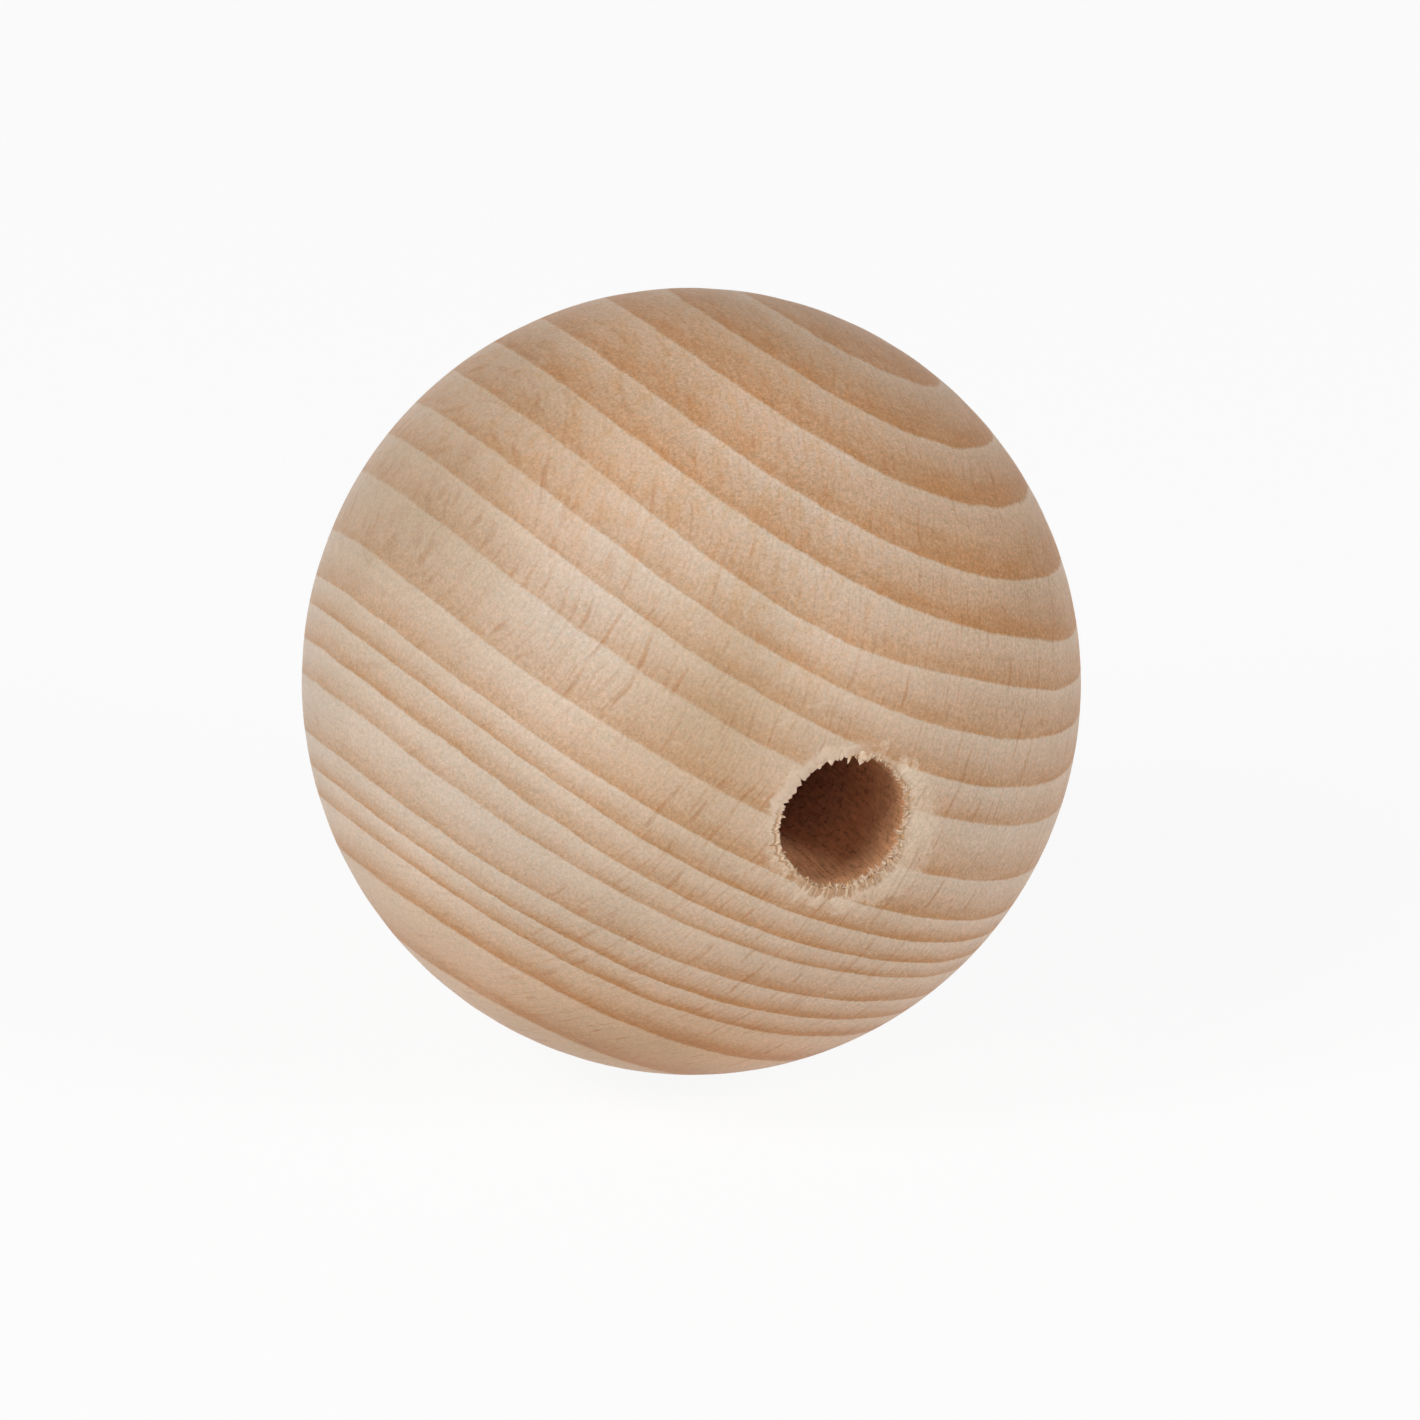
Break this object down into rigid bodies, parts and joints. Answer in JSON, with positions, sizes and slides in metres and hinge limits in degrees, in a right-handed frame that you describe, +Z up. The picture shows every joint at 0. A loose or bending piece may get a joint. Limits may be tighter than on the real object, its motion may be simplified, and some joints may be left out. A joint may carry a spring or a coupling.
{
  "type": "wooden ball",
  "caption": "Raw turned hardwood ball with one blind bore in its end grain, to be glued on a dowel as a knob, finial, head or foot.",
  "frame": {"origin": "centre of the ball", "axes": "+Z up, with the bore lying level along Y and opening towards -Y, the front"},
  "size_m": [0.06, 0.0596, 0.06],
  "materials": {
    "raw_beech": "matte"
  },
  "bodies": {
    "root": {"ball": "raw_beech"}
  },
  "joints": []
}
